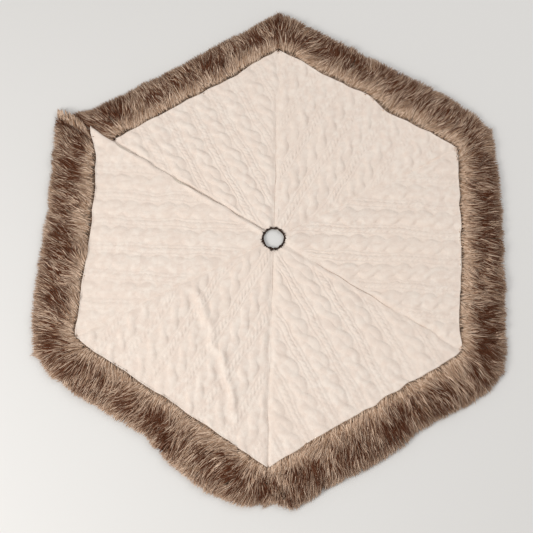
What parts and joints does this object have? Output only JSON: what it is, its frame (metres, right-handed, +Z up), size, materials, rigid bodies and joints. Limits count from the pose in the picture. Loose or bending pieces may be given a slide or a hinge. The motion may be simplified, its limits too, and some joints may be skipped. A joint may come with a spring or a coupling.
{
  "type": "tree skirt",
  "caption": "Hexagonal cable-knit plush tree skirt with a deep faux-fur border, a round trunk hole and an overlapping slit closed by hidden hook and loop tape.",
  "frame": {"origin": "centre of the trunk hole, on the floor under the lining", "axes": "+Z up, out of the floor; +Y to the far corner of the hexagon; +X to the middle of the right-hand side. The slit runs from the hole to the far left corner"},
  "size_m": [1.0566, 1.2196, 0.0215],
  "materials": {
    "cable_plush": "soft ivory plush, embossed cable knit",
    "faux_fur": "long brown-tipped beige pile",
    "lining": "plain woven",
    "hole_facing": "dark brown turned-in strip",
    "closure_tape": "hook and loop tape",
    "care_label": "blank satin tape"
  },
  "bodies": {
    "right_gore": {"right_panel": "cable_plush", "right_lining": "lining", "right_fur_border": "faux_fur", "right_hole_facing": "hole_facing"},
    "back_right_gore": {"back_right_panel": "cable_plush", "back_right_lining": "lining", "back_right_fur_border": "faux_fur", "back_right_hole_facing": "hole_facing"},
    "back_left_gore": {"back_left_panel": "cable_plush", "back_left_lining": "lining", "back_left_fur_border": "faux_fur", "back_left_hole_facing": "hole_facing", "underlap": "lining", "care_label": "care_label", "loop_tape_1": "closure_tape", "loop_tape_2": "closure_tape", "loop_tape_3": "closure_tape"},
    "left_gore": {"left_panel": "cable_plush", "left_lining": "lining", "left_fur_border": "faux_fur", "left_hole_facing": "hole_facing", "hook_tape_1": "closure_tape", "hook_tape_2": "closure_tape", "hook_tape_3": "closure_tape"},
    "front_left_gore": {"front_left_panel": "cable_plush", "front_left_lining": "lining", "front_left_fur_border": "faux_fur", "front_left_hole_facing": "hole_facing"},
    "front_right_gore": {"front_right_panel": "cable_plush", "front_right_lining": "lining", "front_right_fur_border": "faux_fur", "front_right_hole_facing": "hole_facing"}
  },
  "joints": [
    {"name": "back_right_seam", "type": "hinge", "parent": "right_gore", "child": "back_right_gore", "pos_m": [0.25981, 0.15, 0.01656], "axis": [0.8658, 0.4999, 0.0235], "range_deg": [0, 24]},
    {"name": "under_flap_seam", "type": "hinge", "parent": "back_right_gore", "child": "back_left_gore", "pos_m": [0, 0.3, 0.01656], "axis": [0, 0.9997, 0.0235], "range_deg": [0, 81]},
    {"name": "front_right_seam", "type": "hinge", "parent": "right_gore", "child": "front_right_gore", "pos_m": [0.25981, -0.15, 0.01656], "axis": [-0.8658, 0.4999, -0.0235], "range_deg": [0, 20]},
    {"name": "front_seam", "type": "hinge", "parent": "front_right_gore", "child": "front_left_gore", "pos_m": [0, -0.3, 0.01656], "axis": [0, 0.9997, -0.0235], "range_deg": [0, 80]},
    {"name": "over_flap_seam", "type": "hinge", "parent": "front_left_gore", "child": "left_gore", "pos_m": [-0.25981, -0.15, 0.01656], "axis": [0.8658, 0.4999, -0.0235], "range_deg": [0, 135]}
  ],
  "couplings": [
    {"joint": "under_flap_seam", "follows": "over_flap_seam", "ratio": 0.6},
    {"joint": "back_right_seam", "follows": "front_seam", "ratio": 0.3},
    {"joint": "front_right_seam", "follows": "front_seam", "ratio": 0.25}
  ]
}
